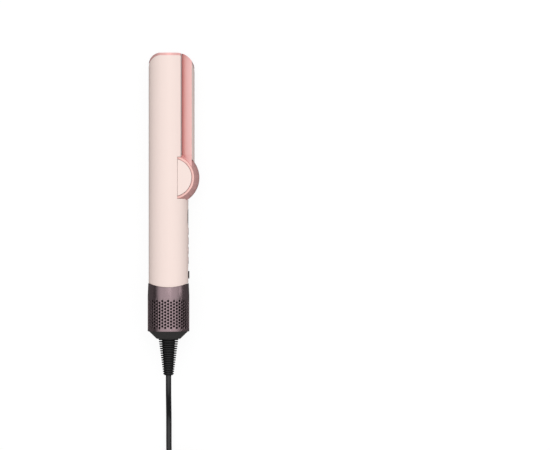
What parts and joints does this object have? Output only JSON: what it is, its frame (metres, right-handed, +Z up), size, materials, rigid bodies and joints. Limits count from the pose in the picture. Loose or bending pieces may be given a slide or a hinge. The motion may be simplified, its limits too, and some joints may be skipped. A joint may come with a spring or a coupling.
{
  "type": "hot air styler",
  "caption": "Handheld hot air styler with a round handle, a fixed arm, a pivoting arm on a drum hinge, a perforated filter cage and a coiled mains cord.",
  "frame": {"origin": "centre of the bottom of the styler's box as it lies on its side, without the cord", "axes": "+Y along the body from the cord end to the tip, +X towards the pivoting arm, +Z up along the hinge axis"},
  "size_m": [0.073, 0.5645, 0.041],
  "materials": {
    "pale_shell": "satin pale pink",
    "rosy_satin": "satin rose metal look",
    "bright_ring": "polished rose",
    "dark_liner": "moulded heat-proof plastic",
    "mica": "mica sheet",
    "resistance_wire": "drawn wire",
    "cast_bracket": "die cast",
    "steel": "ground",
    "bush": "sintered",
    "mesh": "fine woven mesh",
    "cage_metal": "satin purple brown",
    "motor_metal": "machined",
    "soft_rubber": "soft",
    "copper": "wound wire",
    "impeller_plastic": "moulded",
    "board": "solder mask",
    "lens": "gloss",
    "button_metal": "satin",
    "slider_dark": "satin",
    "grey_cone": "matte",
    "black_relief": "satin",
    "cord_black": "satin",
    "tie_black": "woven",
    "plug_black": "fine texture"
  },
  "bodies": {
    "handle": {"body_shell": "pale_shell", "fixed_end_cap": "rosy_satin", "fixed_clamp_face": "rosy_satin", "fixed_duct_liner": "dark_liner", "fixed_heater_mica": "mica", "fixed_heater_wire": "resistance_wire", "hinge_bracket": "cast_bracket", "hinge_pin": "steel", "hinge_cap_front": "pale_shell", "hinge_cap_rear": "pale_shell", "chassis_tube": "dark_liner", "filter_mesh": "mesh", "motor_housing": "motor_metal", "motor_mounts": "soft_rubber", "motor_stator": "copper", "motor_bearings": "steel", "control_board": "board", "display_lens": "lens", "end_cone": "grey_cone", "cone_screws": "steel", "cable_clamp": "dark_liner", "strain_relief": "black_relief", "cord_tube": "cord_black", "cord_coil": "cord_black", "cord_tail": "cord_black", "cord_tie": "tie_black", "plug_body": "plug_black", "plug_pins": "steel"},
    "pivot_arm": {"hinge_drum": "rosy_satin", "hinge_ring_front": "bright_ring", "hinge_ring_rear": "bright_ring", "hinge_bush_front": "bush", "hinge_bush_rear": "bush", "arm_core": "rosy_satin", "arm_cover": "pale_shell", "arm_end_cap": "rosy_satin", "arm_heater_mica": "mica", "arm_heater_wire": "resistance_wire"},
    "fan_rotor": {"motor_shaft": "steel", "rotor_magnet": "steel", "impeller": "impeller_plastic"},
    "cage": {"filter_cage": "cage_metal"},
    "power_key": {"power_button": "button_metal"},
    "mode_key": {"mode_button": "button_metal"},
    "heat_key": {"heat_button": "button_metal"},
    "airflow_key": {"airflow_button": "button_metal"},
    "lock_key": {"lock_slider": "slider_dark"}
  },
  "joints": [
    {"name": "arm_hinge", "type": "hinge", "parent": "handle", "child": "pivot_arm", "pos_m": [-0.0006, 0.036, 0.0205], "axis": [0, 0, -1], "range_deg": [0, 9]},
    {"name": "fan_spin", "type": "hinge", "parent": "handle", "child": "fan_rotor", "pos_m": [-0.0049, -0.0697, 0.0205], "axis": [0, 1, 0], "continuous": true},
    {"name": "cage_slide", "type": "slide", "parent": "handle", "child": "cage", "axis": [0, -1, 0], "range_m": [0, 0.048]},
    {"name": "power_press", "type": "slide", "parent": "handle", "child": "power_key", "axis": [-1, 0, 0], "range_m": [0, 0.0006], "stiffness_N_per_m": 400},
    {"name": "mode_press", "type": "slide", "parent": "handle", "child": "mode_key", "axis": [-1, 0, 0], "range_m": [0, 0.0006], "stiffness_N_per_m": 400},
    {"name": "heat_press", "type": "slide", "parent": "handle", "child": "heat_key", "axis": [-1, 0, 0], "range_m": [0, 0.0006], "stiffness_N_per_m": 400},
    {"name": "airflow_press", "type": "slide", "parent": "handle", "child": "airflow_key", "axis": [-1, 0, 0], "range_m": [0, 0.0006], "stiffness_N_per_m": 400},
    {"name": "lock_slide", "type": "slide", "parent": "handle", "child": "lock_key", "axis": [0, 1, 0], "range_m": [0, 0.004]}
  ]
}
